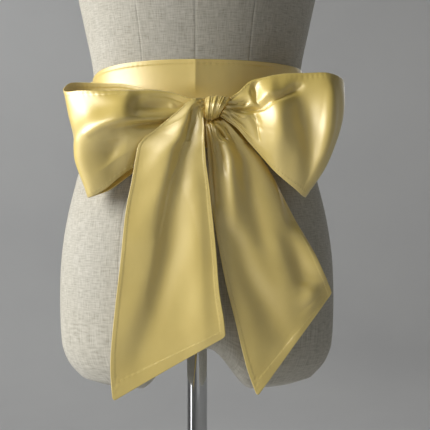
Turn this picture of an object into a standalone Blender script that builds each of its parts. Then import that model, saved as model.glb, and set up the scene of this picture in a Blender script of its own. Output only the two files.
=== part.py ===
"""Satin sash tied in a bow round a linen-covered dress form on a pole stand.

Metres, +Z up. The front faces -Y and the viewer's right is +X. The origin is the centre of the base's
underside. Tables are in millimetres, because the cloth is laid out in them.
"""
import math

import bmesh
import bpy
import numpy as np

MM = 0.001

# Stand
BASE_RADIUS = 0.175
BASE_THICKNESS = 0.008
HUB_RADIUS = 0.021
HUB_HEIGHT = 0.045
BORE_FLOOR = 0.004
POLE_RADIUS = 0.0125
POLE_TOP = 0.690
GAP = 0.0003
TURN_STEPS = 32

# Form: height above the floor, half width, front depth and back depth, in millimetres
FORM_ROWS = [
    # height, half_width, front, back
    (583, 124, 78, 84),
    (589, 142, 89, 96),
    (606, 157, 100, 108),
    (626, 165, 106, 116),
    (660, 167.5, 110, 122),
    (705, 167.5, 113, 122),
    (742, 165, 114, 118),
    (785, 158, 113, 108),
    (830, 147, 107, 96),
    (861, 137, 100, 90),
    (905, 128, 95, 84),
    (956, 127, 97, 86),
    (1014, 138, 107, 94),
    (1070, 150, 120, 101),
    (1130, 160, 131, 106),
    (1185, 165, 127, 109),
    (1235, 168, 107, 108),
    (1275, 160, 85, 98),
    (1305, 128, 68, 82),
    (1325, 88, 59, 69),
    (1342, 65, 56, 62),
    (1365, 58, 55, 57),
    (1395, 57, 55, 56),
]
FORM_SQUARENESS = 2.15
FORM_SIDES = 44
BAND_ZONE = (850, 970)
BAND_ZONE_STEP = 12
FORM_STEP = 32
STUB_TOP = 660
STUB_RINGS = 7
ARCH_HEIGHT = 48
ARCH_FLAT = 14
ARCH_REACH = 66
SOCKET_DEPTH = 0.075
UNDERSIDE_SCALES = [0.985, 0.95, 0.8, 0.6, 0.4, 0.2]

# Cloth
CLOTH = 0.0015
SKIN_GAP = 0.5
LAP_GAP = 0.6
BAND_BOTTOM = 861
BAND_ROWS = 9
CREASE_ANGLES = [-4.6, -2.0, 0.0, 2.0, 4.6]
CREASE_HEIGHT = 3.0
CREASE_WIDTH = 11.0
CREASE_RADIUS = 128
CREASE_FADE = (918, 936)

# Top edge of the first lap, which dips at the viewer's left side
BAND_TOP_ROWS = [
    # angle, top
    (-180, 957),
    (-140, 952),
    (-105, 947),
    (-80, 950),
    (-58, 957),
    (-30, 961),
    (0, 962),
    (60, 961),
    (120, 959),
    (180, 957),
]

# Second lap: angle from the centre front, top and bottom heights, and lift off the first lap
WRAP_RIGHT_ROWS = [
    # angle, top, bottom, lift
    (10.5, 914, 897, 0.9),
    (20.0, 919, 886, 0.9),
    (33.0, 929, 873, 0.3),
    (52.5, 939, 862, 0.1),
    (75.0, 947, 859, 0.0),
    (105.0, 953, 858, 0.0),
    (135.0, 956, 857, 0.0),
    (158.0, 957, 856, 0.0),
    (168.0, 957, 856, 1.3),
    (176.0, 957, 856, 2.8),
    (188.0, 958, 856, 2.8),
]
WRAP_LEFT_ROWS = [
    (7.0, 913, 897, 0.0),
    (-6.0, 916, 890, 0.2),
    (-26.0, 925, 876, 0.3),
    (-52.5, 938, 863, 0.1),
    (-75.0, 946, 860, 0.0),
    (-105.0, 951, 858, 0.0),
    (-135.0, 954, 857, 0.0),
    (-164.0, 955, 857, 0.1),
    (-176.0, 955, 857, 0.4),
]
WRAP_END_SLANT = 9.0
WRAP_LINES = 6
WRAP_PLEATS = 3
WRAP_PLEAT_DEPTH = 1.2
WRAP_PLEAT_REACH = 38.0

# Bow: every row below is measured from the knot's place on the form's front
KNOT_X = 0.025
KNOT_Z = 0.905

# A loop's rows run from the knot along the front, round the outer turn and back to the knot
LOOP_LEFT_ROWS = [
    # top_x, top_z, bottom_x, bottom_z, top_out, middle_out, bottom_out, middle_shift
    (-14.2, 6, -14.2, -11, 132, 133, 132, 0),
    (-30, 8, -30, -22, 131, 134, 130, 0),
    (-52, 15, -52, -38, 128, 137, 128, 0),
    (-77, 18, -77, -56, 129, 143, 127, 0),
    (-103, 15, -101, -73, 133, 149, 128, 0),
    (-129, 16, -120, -88, 132, 146, 128, 0),
    (-152, 18, -134, -96, 124, 136, 122, 0),
    (-168, 18, -142, -99, 114, 123, 114, 0),
    (-174, 22, -146, -100, 103, 108, 104, 0),
    (-169, 30, -145, -100, 93, 95, 95, 0),
    (-156, 32, -137, -97, 87, 86, 91, 0),
    (-134, 31, -122, -91, 88, 85, 92, 0),
    (-106, 29, -102, -77, 96, 93, 98, 0),
    (-78, 21, -78, -59, 106, 103, 106, 0),
    (-53, 15, -53, -40, 113, 112, 112, 0),
    (-31, 8, -31, -22, 117, 118, 117, 0),
    (-14.2, 6, -14.2, -10, 120, 121, 120, 0),
]
LOOP_RIGHT_ROWS = [
    (14.9, 9, 2.9, -11, 132, 133, 132, 0),
    (25, 17, 22, -25, 131, 134, 130, 0),
    (37, 28, 36, -41, 128, 137, 129, 0),
    (54, 32, 49, -56, 127, 145, 128, 0),
    (75, 36, 62, -70, 126, 152, 128, 1),
    (96, 37, 75, -82, 125, 146, 127, 4),
    (116, 37, 86, -91, 124, 143, 123, 8),
    (133, 35, 94, -98, 119, 140, 117, 11),
    (142, 31, 99, -100, 105, 122, 106, 13),
    (138, 30, 96, -95, 90, 97, 95, 12),
    (124, 30, 89, -86, 85, 87, 91, 8),
    (100, 30, 77, -74, 86, 86, 92, 4),
    (77, 28, 63, -61, 92, 93, 97, 0),
    (55, 24, 50, -46, 100, 103, 105, 0),
    (38, 17, 36, -33, 108, 112, 111, 0),
    (25, 11, 22, -20, 115, 118, 116, 0),
    (13.6, 7, 3.8, -9, 120, 121, 120, 0),
]
LOOP_LENGTH = 360
SASH_WIDTH = 130
LOOP_COLUMNS = 40
LOOP_LINES = 10
FOLD_EASE = 0.06
PATH_STEPS = 6

# Folds in the cloth, laid out on the flat strip: the path of each, as places along the strip from the knot
# and across it from its top edge, how wide it is on each side, and its height. A trough's is negative.
LOOP_LEFT_FOLDS = [
    # path, width_above, width_below, height
    ([(88, 6), (90, 44)], 16, 9, 6.0),
    ([(92, 45), (107, 47), (127, 54), (143, 70), (148, 95), (146, 118)], 17, 22, 11.0),
    ([(34, 38), (54, 36), (72, 36)], 14, 13, -7.0),
    ([(38, 34), (46, 36)], 9, 9, 3.0),
    ([(34, 76), (56, 66), (74, 56), (92, 51), (108, 52), (124, 58)], 9, 4, 3.5),
    ([(38, 83), (58, 73), (76, 63), (92, 58)], 4, 7, -3.0),
    ([(99, 72), (103, 88), (102, 104)], 19, 18, -8.5),
    ([(62, 84), (64, 110)], 12, 12, 3.5),
    ([(16, 6), (84, 6)], 5, 7, 2.0),
    ([(225, 30), (330, 60)], 14, 14, 3.5),
    ([(235, 95), (338, 78)], 10, 10, -3.0),
]
LOOP_RIGHT_FOLDS = [
    ([(14, 67), (45, 60), (58, 53), (77, 38), (91, 29), (104, 20)], 6, 5, -6.0),
    ([(51, 12), (53, 42)], 8, 4, -4.5),
    ([(28, 52), (36, 48)], 5, 4, -3.5),
    ([(73, 10), (75, 40)], 8, 12, 3.6),
    ([(49, 66), (56, 86)], 9, 5, -3.0),
    ([(6, 72), (20, 80), (40, 75)], 4, 4, 2.5),
    ([(5, 92), (16, 106), (30, 108)], 4, 4, 2.0),
    ([(84, 46), (87, 66), (91, 80)], 9, 19, 3.5),
    ([(104, 24), (112, 38), (118, 54), (127, 76), (140, 97), (150, 112)], 13, 12, -7.0),
    ([(142, 12), (146, 28), (149, 56), (153, 84)], 9, 15, 6.5),
    ([(225, 35), (330, 60)], 14, 14, 3.5),
    ([(235, 92), (338, 76)], 10, 10, -3.0),
]

# A tail's rows run from the knot down; left and right are the viewer's
TAIL_LEFT_ROWS = [
    # left_x, left_z, right_x, right_z, left_out, middle_out, right_out, middle_shift
    (-14.8, 8, -14.8, -8, 141, 141, 141, 0),
    (-30, 4, -15.5, -14, 144, 144, 146, 0),
    (-47, -10, -15, -25, 146, 145, 149, 0),
    (-65, -25, -15, -36, 146, 146, 151, 0),
    (-84, -41, -14, -49, 145, 146, 151, 0),
    (-89, -58, -13, -64, 143, 144, 150, 0),
    (-94, -84, -10, -86, 140, 140, 147, 0),
    (-101, -117, -7, -112, 135, 135, 144, 0),
    (-107, -170, -2, -159, 129, 129, 139, 0),
    (-114, -227, 2, -203, 124, 125, 136, 0),
    (-119, -283, 7, -234, 121, 123, 134, 0),
    (-117, -328, 9, -254, 120, 122, 132, 0),
]
TAIL_RIGHT_ROWS = [
    (-12, -15.6, 3, -15.6, 124, 124, 124, 0),
    (-13, -23.5, 13, -21.5, 128, 131, 125, 0),
    (-12, -37, 30, -39, 130, 134, 120, 0),
    (-11, -57, 48, -61, 131, 135, 116, 0),
    (-9, -87, 65, -87, 131, 133, 112, 0),
    (-5, -119, 82, -116, 130, 129, 110, 0),
    (1, -154, 100, -151, 128, 125, 109, 0),
    (9, -195, 114, -179, 126, 121, 108, 0),
    (20, -239, 123, -194, 124, 118, 107, 0),
    (32, -288, 127, -202, 122, 116, 106, 0),
    (44, -322, 129, -208, 121, 115, 105, 0),
]
TAIL_LENGTH = 330
TAIL_COLUMNS = 22
TAIL_LINES = 14

# Folds on the tails: places along from the knot and across from the tail's left edge
TAIL_LEFT_FOLDS = [
    # path, width_left, width_right, height
    ([(26, 24), (44, 42), (60, 58), (97, 72), (132, 66), (178, 58), (229, 45), (262, 36)], 42, 12, 8.0),
    ([(34, 36), (46, 52), (56, 64), (75, 77), (100, 87)], 3, 7, -3.5),
    ([(60, 82), (97, 92), (130, 89), (165, 81), (190, 76), (228, 66), (268, 50), (300, 36)], 14, 20, -4.0),
    ([(190, 112), (310, 106)], 18, 12, 3.0),
    ([(4, 40), (18, 26)], 4, 4, -3.0),
]
TAIL_RIGHT_FOLDS = [
    ([(6, 76), (22, 104), (42, 116), (64, 118)], 6, 5, 4.5),
    ([(38, 64), (60, 72)], 9, 7, -6.0),
    ([(33, 8), (150, 6)], 6, 6, -4.0),
    ([(76, 37), (112, 33)], 7, 6, -2.5),
    ([(72, 60), (100, 56), (127, 46), (178, 32)], 10, 14, 4.0),
    ([(64, 98), (100, 92), (124, 80), (150, 72), (192, 69)], 17, 15, -6.0),
    ([(190, 28), (228, 32), (268, 46), (308, 56)], 15, 16, -6.0),
    ([(86, 123), (105, 123), (140, 117), (172, 106)], 28, 10, 7.0),
    ([(196, 86), (235, 84), (262, 82)], 18, 12, 3.0),
    ([(206, 108), (246, 102)], 10, 9, -2.5),
    ([(192, 124), (228, 130), (254, 128)], 15, 9, 7.0),
    ([(262, 100), (290, 104)], 16, 12, 5.0),
]

# Knot: a barrel of pleats across the middle of the bow, upright at the left and leaning at the right
KNOT_LEFT = (-13.6, -2.0)
KNOT_RIGHT = (8.0, -0.9)
KNOT_HALF_HEIGHTS = (11.8, 10.2)
KNOT_RIGHT_LEAN = 6.2
KNOT_BULGE = 1.8
KNOT_BACK_OUT = 99.5
KNOT_FRONT_OUT = 148.0
KNOT_PLEATS = 8
KNOT_PLEAT_DEPTH = 0.055
KNOT_RINGS = 28
KNOT_SIDES = 16
KNOT_END = 0.86


def clear_scene():
    for item in list(bpy.data.objects):
        bpy.data.objects.remove(item, do_unlink=True)


def make_material(name, colour, roughness, metallic=0.0):
    material = bpy.data.materials.new(name)
    material.use_nodes = True
    shader = material.node_tree.nodes["Principled BSDF"]
    shader.inputs["Base Color"].default_value = (*colour, 1.0)
    shader.inputs["Roughness"].default_value = roughness
    shader.inputs["Metallic"].default_value = metallic
    return material


def curve_through(rows, place):
    """Point at a place from 0 to 1 on a smooth curve through evenly numbered rows."""
    rows = np.asarray(rows, dtype=float)
    last = len(rows) - 1
    position = min(max(place, 0.0), 1.0) * last
    index = min(int(position), last - 1)
    t = position - index
    here, after = rows[index], rows[index + 1]
    before = rows[index - 1] if index > 0 else 2 * here - after
    beyond = rows[index + 2] if index + 2 <= last else 2 * after - here
    return 0.5 * (2 * here + (after - before) * t + (2 * before - 5 * here + 4 * after - beyond) * t ** 2
                  + (3 * here - before - 3 * after + beyond) * t ** 3)


def smooth_step(low, high, value):
    t = min(max((value - low) / (high - low), 0.0), 1.0)
    return t * t * (3 - 2 * t)


def look_up(rows, key):
    """Values at a key, on a smooth curve through rows whose first column is the key."""
    keys = [row[0] for row in rows]
    place = float(np.interp(key, keys, range(len(keys)))) / (len(keys) - 1)
    return curve_through([row[1:] for row in rows], place)


def form_section(height):
    """Half width, front depth and back depth of the form at a height, all in millimetres."""
    return look_up(FORM_ROWS, height)


def form_plan(angle, half_width, front, back):
    """Point on a rounded section, where the angle runs from the centre front to the viewer's right."""
    sine, cosine = math.sin(math.radians(angle)), math.cos(math.radians(angle))
    power = 2.0 / FORM_SQUARENESS
    depth = front if cosine > 0 else back
    x = half_width * math.copysign(abs(sine) ** power, sine)
    y = -depth * math.copysign(abs(cosine) ** power, cosine)
    return x, y


def form_point(angle, height, offset=0.0):
    """Point on the form, moved straight out of it by an offset in millimetres."""
    step = 0.5
    here = np.array((*form_plan(angle, *form_section(height)), height))
    if offset == 0.0:
        return here
    beside = np.array((*form_plan(angle + step, *form_section(height)), height))
    behind = np.array((*form_plan(angle - step, *form_section(height)), height))
    above = np.array((*form_plan(angle, *form_section(height + step)), height + step))
    below = np.array((*form_plan(angle, *form_section(height - step)), height - step))
    normal = np.cross(beside - behind, above - below)
    return here + normal / np.linalg.norm(normal) * offset


def arch_height(x):
    """How far the underside rises above the stubs at a distance from the middle."""
    return ARCH_HEIGHT * (1 - smooth_step(ARCH_FLAT, ARCH_REACH, abs(x)))


def form_rings():
    """Closed rings of the form in millimetres, from the neck down to the top of the pole's socket."""
    angles = [360.0 * i / FORM_SIDES for i in range(FORM_SIDES)]
    top = FORM_ROWS[-1][0]
    heights = list(np.linspace(top, BAND_ZONE[1], round((top - BAND_ZONE[1]) / FORM_STEP)))
    zone = np.arange(BAND_ZONE[1] - BAND_ZONE_STEP, BAND_ZONE[0], -BAND_ZONE_STEP)
    heights += list(zone)
    heights += list(np.linspace(BAND_ZONE[0], STUB_TOP, round((BAND_ZONE[0] - STUB_TOP) / FORM_STEP)))
    neck = [form_point(a, top) for a in angles]
    rings = [[(p[0] * s, p[1] * s, top + rise) for p in neck] for s, rise in ((0.5, 9), (0.85, 6))]
    rings += [[tuple(form_point(a, h)) for a in angles] for h in heights]
    bottom = FORM_ROWS[0][0]
    border = []
    for step in range(1, STUB_RINGS + 1):
        height = STUB_TOP + (bottom - STUB_TOP) * step / STUB_RINGS
        ring = []
        for angle in angles:
            x, y, _ = form_point(angle, height)
            rise = arch_height(x) * step / STUB_RINGS
            ring.append((x, y, height + rise))
        rings.append(ring)
        border = ring
    bore = (POLE_RADIUS + GAP) / MM
    circle = [(bore * math.sin(math.radians(a)), -bore * math.cos(math.radians(a))) for a in angles]
    for scale in UNDERSIDE_SCALES:
        ring = []
        for (x, y, _), (cx, cy) in zip(border, circle):
            px, py = cx + (x - cx) * scale, cy + (y - cy) * scale
            ring.append((px, py, bottom - 1.5 * smooth_step(1.0, 0.9, scale) + arch_height(px)))
        rings.append(ring)
    floor = bottom - 1.5 + ARCH_HEIGHT
    rings.append([(cx, cy, floor) for cx, cy in circle])
    rings.append([(cx, cy, floor + SOCKET_DEPTH / MM) for cx, cy in circle])
    return rings


def closed_mesh(name, rings):
    """Closed body through rings of equal count, with a fan over each end. Points in millimetres."""
    mesh = bpy.data.meshes.new(name)
    shape = bmesh.new()
    verts = [[shape.verts.new(np.array(point) * MM) for point in ring] for ring in rings]
    count = len(rings[0])
    for upper, lower in zip(verts, verts[1:]):
        for i in range(count):
            j = (i + 1) % count
            shape.faces.new((upper[i], lower[i], lower[j], upper[j]))
    for ring in (verts[0], verts[-1]):
        centre = shape.verts.new(sum((v.co for v in ring), ring[0].co * 0) / count)
        for i in range(count):
            shape.faces.new((ring[i], ring[(i + 1) % count], centre))
    bmesh.ops.recalc_face_normals(shape, faces=shape.faces)
    shape.to_mesh(mesh)
    shape.free()
    return mesh


def sheet_mesh(name, grid, ring=False):
    """Open surface through a grid of points in millimetres; a ring joins its last column to its first."""
    mesh = bpy.data.meshes.new(name)
    shape = bmesh.new()
    verts = [[shape.verts.new(np.array(point) * MM) for point in column] for column in grid]
    columns = len(verts)
    for i in range(columns if ring else columns - 1):
        here, after = verts[i], verts[(i + 1) % columns]
        for j in range(len(here) - 1):
            shape.faces.new((here[j], after[j], after[j + 1], here[j + 1]))
    shape.to_mesh(mesh)
    shape.free()
    return mesh


def add_object(mesh, material, collection):
    item = bpy.data.objects.new(mesh.name, mesh)
    collection.objects.link(item)
    mesh.materials.append(material)
    mesh.shade_smooth()
    return item


def add_cloth(name, grid, material, collection, ring=False):
    """Cloth wall: the grid is its middle, and Solidify gives half its thickness on each side."""
    item = add_object(sheet_mesh(name, grid, ring), material, collection)
    wall = item.modifiers.new("wall", "SOLIDIFY")
    wall.thickness = CLOTH
    wall.offset = 0.0
    return item


def smooth_path(path):
    """Points along a smooth curve through the places of a fold's path."""
    if len(path) < 3:
        return np.asarray(path, dtype=float)
    count = PATH_STEPS * len(path)
    return np.array([curve_through(path, i / (count - 1)) for i in range(count)])


def fold_lift(along, across, folds):
    """Height in millimetres of all the folds at a place on the flat strip."""
    place = np.array((along, across), dtype=float)
    lift = 0.0
    for spots, before, after, height in folds:
        runs = np.diff(spots, axis=0)
        lengths = np.linalg.norm(runs, axis=1)
        starts = np.concatenate(([0.0], np.cumsum(lengths)))
        best = None
        for spot, run, length, start in zip(spots, runs, lengths, starts):
            share = min(max(float((place - spot) @ run) / length ** 2, 0.0), 1.0)
            offset = place - spot - run * share
            distance = np.linalg.norm(offset)
            if best is None or distance < best[0]:
                side = (run[0] * (place - spot)[1] - run[1] * (place - spot)[0]) / length
                best = (distance, side, (start + share * length) / starts[-1])
        distance, side, travelled = best
        turn = min(max(side / max(distance, 1e-6), -1.0), 1.0)
        width = before + (after - before) * (0.5 + 0.5 * turn)
        taper = 0.35 + 0.65 * math.sin(math.pi * (0.12 + 0.76 * travelled))
        lift += height * taper * math.exp(-(distance / width) ** 2)
    return lift


def strip_grid(rows, length, columns, lines, folds, returns):
    """Middle surface of a strip through rows of edge points, with its folds lifted along its normal.

    A strip that returns ends flat at the knot again; the others hang free at their far end.
    """
    table = np.asarray(rows, dtype=float)
    top = np.column_stack((table[:, 0], -table[:, 4], table[:, 1]))
    low = np.column_stack((table[:, 2], -table[:, 6], table[:, 3]))
    middle = (top + low) / 2
    middle[:, 0] += table[:, 7]
    middle[:, 1] = -table[:, 5]
    grid = np.zeros((columns + 1, lines + 1, 3))
    for i in range(columns + 1):
        a, m, b = (curve_through(line, i / columns) for line in (top, middle, low))
        for j in range(lines + 1):
            v = j / lines
            grid[i, j] = (1 - v) * (1 - 2 * v) * a + 4 * v * (1 - v) * m + v * (2 * v - 1) * b
    along, across = np.gradient(grid, axis=0), np.gradient(grid, axis=1)
    normal = np.cross(along, across)
    normal /= np.linalg.norm(normal, axis=2, keepdims=True)
    if normal[columns // 4, lines // 2, 1] > 0:
        normal = -normal
    curved = [(smooth_path(path), before, after, height) for path, before, after, height in folds]
    for i in range(columns + 1):
        ease = smooth_step(0.0, FOLD_EASE, i / columns)
        if returns:
            ease *= smooth_step(0.0, FOLD_EASE, 1 - i / columns)
        for j in range(lines + 1):
            lift = fold_lift(length * i / columns, SASH_WIDTH * j / lines, curved)
            grid[i, j] += normal[i, j] * lift * ease
    return grid + np.array((KNOT_X, 0, KNOT_Z)) / MM


def band_grid():
    """First lap: a ring on the form, with the sash's centre fold as a ridge at the centre front."""
    turn = 360.0 / FORM_SIDES
    angles = CREASE_ANGLES + [turn * i for i in range(1, FORM_SIDES)]
    grid = []
    for angle in angles:
        column = []
        turned = angle - 360 if angle > 180 else angle
        top = look_up(BAND_TOP_ROWS, turned)[0]
        run = abs(math.radians(turned)) * CREASE_RADIUS
        for step in range(BAND_ROWS):
            height = top + (BAND_BOTTOM - top) * step / (BAND_ROWS - 1)
            ridge = CREASE_HEIGHT * math.exp(-run / CREASE_WIDTH) * smooth_step(*CREASE_FADE, height)
            column.append(form_point(angle, height, SKIN_GAP + CLOTH / MM / 2 + ridge))
        grid.append(column)
    return grid


def wrap_grid(rows, side):
    """Second lap on one side, 1 for the viewer's right, from the knot to the crossing at the back."""
    rest = SKIN_GAP + CLOTH / MM + LAP_GAP + CLOTH / MM / 2
    turns = [(side * row[0], *row[1:]) for row in rows]
    first, last = turns[0][0], turns[-1][0]
    turn = 360.0 / FORM_SIDES
    shared = [turn * i for i in range(-FORM_SIDES, FORM_SIDES)]
    grid = []
    for away in [first] + [a for a in shared if first + 1 < a < last - 1] + [last]:
        top, bottom, lift = look_up(turns, away)
        column = []
        for j in range(WRAP_LINES + 1):
            v = j / WRAP_LINES
            slant = side * WRAP_END_SLANT * (0.5 - v) * smooth_step(last - 12, last, away)
            near = 1 - min(away - first, WRAP_PLEAT_REACH) / WRAP_PLEAT_REACH
            pleat = WRAP_PLEAT_DEPTH * near * (0.5 - 0.5 * math.cos(2 * math.pi * WRAP_PLEATS * v))
            height = top + (bottom - top) * v
            column.append(form_point(side * (away + slant), height, rest + lift + pleat))
        grid.append(column)
    return grid


def knot_rings():
    """Rings of the knot's barrel, from the viewer's left to the right, with pleats round its front."""
    centre_out = (KNOT_BACK_OUT + KNOT_FRONT_OUT) / 2
    half_depth = (KNOT_FRONT_OUT - KNOT_BACK_OUT) / 2
    rings = []
    for i in range(KNOT_RINGS + 1):
        share = i / KNOT_RINGS
        place = 2 * share - 1
        middle_x = KNOT_LEFT[0] + (KNOT_RIGHT[0] - KNOT_LEFT[0]) * share
        middle_z = KNOT_LEFT[1] + (KNOT_RIGHT[1] - KNOT_LEFT[1]) * share
        half = KNOT_HALF_HEIGHTS[0] + (KNOT_HALF_HEIGHTS[1] - KNOT_HALF_HEIGHTS[0]) * share
        half += KNOT_BULGE * (1 - place ** 2)
        depth = half_depth * (KNOT_END + (1 - KNOT_END) * (1 - place ** 4))
        ring = []
        for k in range(KNOT_SIDES):
            angle = 2 * math.pi * k / KNOT_SIDES
            high, forward = math.sin(angle), math.cos(angle)
            groove = KNOT_PLEAT_DEPTH * math.cos(math.pi * KNOT_PLEATS * place) * (1 - place ** 6)
            scale = 1 - groove * smooth_step(-0.2, 0.4, forward)
            x = middle_x + KNOT_RIGHT_LEAN * share * high
            ring.append((x, -centre_out - depth * forward * scale, middle_z + half * high * scale))
        rings.append([np.array(point) + np.array((KNOT_X, 0, KNOT_Z)) / MM for point in ring])
    return rings


def turned_object(name, profile, material, collection):
    """Body turned round the vertical axis from a profile of radius and height."""
    mesh = bpy.data.meshes.new(name)
    shape = bmesh.new()
    verts = [shape.verts.new((radius, 0, height)) for radius, height in profile]
    for first, second in zip(verts, verts[1:]):
        shape.edges.new((first, second))
    shape.to_mesh(mesh)
    shape.free()
    item = add_object(mesh, material, collection)
    screw = item.modifiers.new("turn", "SCREW")
    screw.steps = TURN_STEPS
    screw.render_steps = TURN_STEPS
    screw.use_merge_vertices = True
    screw.merge_threshold = 0.00001
    return item


def build_stand(chrome, collection):
    bore = POLE_RADIUS + GAP
    turned_object("stand_base", [
        (0, BORE_FLOOR), (bore, BORE_FLOOR), (bore, HUB_HEIGHT - 0.001), (bore + 0.001, HUB_HEIGHT),
        (HUB_RADIUS - 0.002, HUB_HEIGHT), (HUB_RADIUS, HUB_HEIGHT - 0.002), (HUB_RADIUS, 0.018),
        (HUB_RADIUS + 0.003, 0.012), (HUB_RADIUS + 0.012, BASE_THICKNESS + 0.001),
        (BASE_RADIUS - 0.004, BASE_THICKNESS), (BASE_RADIUS - 0.001, BASE_THICKNESS - 0.0015),
        (BASE_RADIUS, BASE_THICKNESS - 0.004), (BASE_RADIUS, 0.001), (BASE_RADIUS - 0.001, 0), (0, 0),
    ], chrome, collection)
    foot = BORE_FLOOR + GAP
    turned_object("stand_pole", [
        (0, POLE_TOP), (POLE_RADIUS - 0.001, POLE_TOP), (POLE_RADIUS, POLE_TOP - 0.001),
        (POLE_RADIUS, foot + 0.001), (POLE_RADIUS - 0.001, foot), (0, foot),
    ], chrome, collection)


def build_form(linen, collection):
    add_object(closed_mesh("form_torso", form_rings()), linen, collection)


def build_waist(satin, collection):
    add_cloth("sash_waist_band", band_grid(), satin, collection, ring=True)
    add_cloth("sash_wrap_left", wrap_grid(WRAP_LEFT_ROWS, -1), satin, collection)
    add_cloth("sash_wrap_right", wrap_grid(WRAP_RIGHT_ROWS, 1), satin, collection)


def build_bow(satin, collection):
    add_object(closed_mesh("sash_knot", knot_rings()), satin, collection)
    loops = (("sash_loop_left", LOOP_LEFT_ROWS, LOOP_LEFT_FOLDS),
             ("sash_loop_right", LOOP_RIGHT_ROWS, LOOP_RIGHT_FOLDS))
    for name, rows, folds in loops:
        grid = strip_grid(rows, LOOP_LENGTH, LOOP_COLUMNS, LOOP_LINES, folds, True)
        add_cloth(name, grid, satin, collection)
    tails = (("sash_tail_left", TAIL_LEFT_ROWS, TAIL_LEFT_FOLDS),
             ("sash_tail_right", TAIL_RIGHT_ROWS, TAIL_RIGHT_FOLDS))
    for name, rows, folds in tails:
        grid = strip_grid(rows, TAIL_LENGTH, TAIL_COLUMNS, TAIL_LINES, folds, False)
        add_cloth(name, grid, satin, collection)


def main():
    clear_scene()
    collection = bpy.data.collections.new("satin_sash")
    bpy.context.scene.collection.children.link(collection)
    satin = make_material("satin", (0.83, 0.71, 0.36), 0.32)
    linen = make_material("linen", (0.60, 0.56, 0.48), 0.9)
    chrome = make_material("chrome", (0.75, 0.76, 0.77), 0.12, 1.0)
    build_stand(chrome, collection)
    build_form(linen, collection)
    build_waist(satin, collection)
    build_bow(satin, collection)


main()
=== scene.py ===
"""Looks of a satin sash tied in a bow round a linen-covered dress form on a chrome pole stand.

Metres, +Z up. The front faces -Y and the viewer's right is +X. Tables are in millimetres, because the cloth
is laid out in them, and the rows that the solids share are the same as in the part's source.
"""
import math

import bpy
import numpy as np
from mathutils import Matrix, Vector


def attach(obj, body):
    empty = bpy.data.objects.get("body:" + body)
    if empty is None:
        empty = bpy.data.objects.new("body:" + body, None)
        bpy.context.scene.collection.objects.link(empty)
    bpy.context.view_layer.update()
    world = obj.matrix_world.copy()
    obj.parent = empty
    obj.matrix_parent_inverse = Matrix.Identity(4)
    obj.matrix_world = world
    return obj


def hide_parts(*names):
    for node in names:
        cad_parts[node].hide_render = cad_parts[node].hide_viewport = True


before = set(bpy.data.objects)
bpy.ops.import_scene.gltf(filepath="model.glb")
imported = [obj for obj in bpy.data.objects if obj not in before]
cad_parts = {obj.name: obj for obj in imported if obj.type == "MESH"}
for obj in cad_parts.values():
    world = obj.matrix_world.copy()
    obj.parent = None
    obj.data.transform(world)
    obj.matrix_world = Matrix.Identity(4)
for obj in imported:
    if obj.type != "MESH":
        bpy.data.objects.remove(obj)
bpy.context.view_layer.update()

MM = 0.001

# Stand, in metres
BASE_RADIUS = 0.175
BASE_THICKNESS = 0.008
HUB_RADIUS = 0.021
HUB_HEIGHT = 0.045
BORE_FLOOR = 0.004
POLE_RADIUS = 0.0125
POLE_TOP = 0.690
GAP = 0.0003
TURN_SIDES = 160
TURN_CENTRE = 0.00001
TURN_SHARP_ANGLE = 35

# Floor of the studio, in metres: flat out to one distance, then a round cove up into the wall
STAGE_FLOOR = 2.45
STAGE_COVE = 1.5
STAGE_HEIGHT = 3.4
STAGE_STEPS = 28
STAGE_SIDES = 96
STAGE_CENTRE = 0.0001

# Form: height above the floor, half width, front depth and back depth
FORM_ROWS = [
    # height, half_width, front, back
    (583, 124, 78, 84),
    (589, 142, 89, 96),
    (606, 157, 100, 108),
    (626, 165, 106, 116),
    (660, 167.5, 110, 122),
    (705, 167.5, 113, 122),
    (742, 165, 114, 118),
    (785, 158, 113, 108),
    (830, 147, 107, 96),
    (861, 137, 100, 90),
    (905, 128, 95, 84),
    (956, 127, 97, 86),
    (1014, 138, 107, 94),
    (1070, 150, 120, 101),
    (1130, 160, 131, 106),
    (1185, 165, 127, 109),
    (1235, 168, 107, 108),
    (1275, 160, 85, 98),
    (1305, 128, 68, 82),
    (1325, 88, 59, 69),
    (1342, 65, 56, 62),
    (1365, 58, 55, 57),
    (1395, 57, 55, 56),
]
FORM_SQUARENESS = 2.15
FORM_SIDES = 200
FORM_STEP = 5.0
# Radius at which turns round the form are counted as lengths of its linen
FORM_RADIUS = 150
CLOSING_SHARE = 0.02
# Rings of the neck cap: share of the neck's size, and height above its top row
NECK_CAP_ROWS = [(CLOSING_SHARE, 9.6), (0.3, 9.4), (0.6, 8.6), (0.8, 7.2), (0.92, 5.2), (0.98, 2.6)]
STUB_TOP = 660
STUB_STEPS = 26
ARCH_HEIGHT = 48
ARCH_FLAT = 14
ARCH_REACH = 66
SOCKET_DEPTH = 75
UNDERSIDE_STEPS = 16
UNDERSIDE_EASE = 1.4
UNDERSIDE_LIP = 1.5

# Seams of the form's cover: angle from the centre front at the hips and at the waist
FORM_SEAMS = [
    # at_hips, at_waist
    (0.0, 0.0),
    (29.0, 27.0),
    (90.0, 90.0),
    (146.0, 150.0),
    (180.0, 180.0),
    (-146.0, -150.0),
    (-90.0, -90.0),
    (-30.0, -27.0),
]
# Heights over which the seams swing in to the waist's angles, and back out again
SEAM_SWING_IN = (760, 900)
SEAM_SWING_OUT = (1000, 1150)
SEAM_OFFSETS = [-1.6, -0.9, -0.45, -0.2, 0.0, 0.2, 0.45, 0.9, 1.6]
SEAM_MIN_TURN = 0.12
SEAM_DEPTH = 0.26
SEAM_WIDTH = 0.9
SEAM_PULL = 0.35
SEAM_PULL_PITCH = 3.1
SEAM_ALLOWANCE = 6.0
SEAM_ALLOWANCE_LIFT = 0.12
SEAM_ALLOWANCE_WIDTH = 3.0

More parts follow.
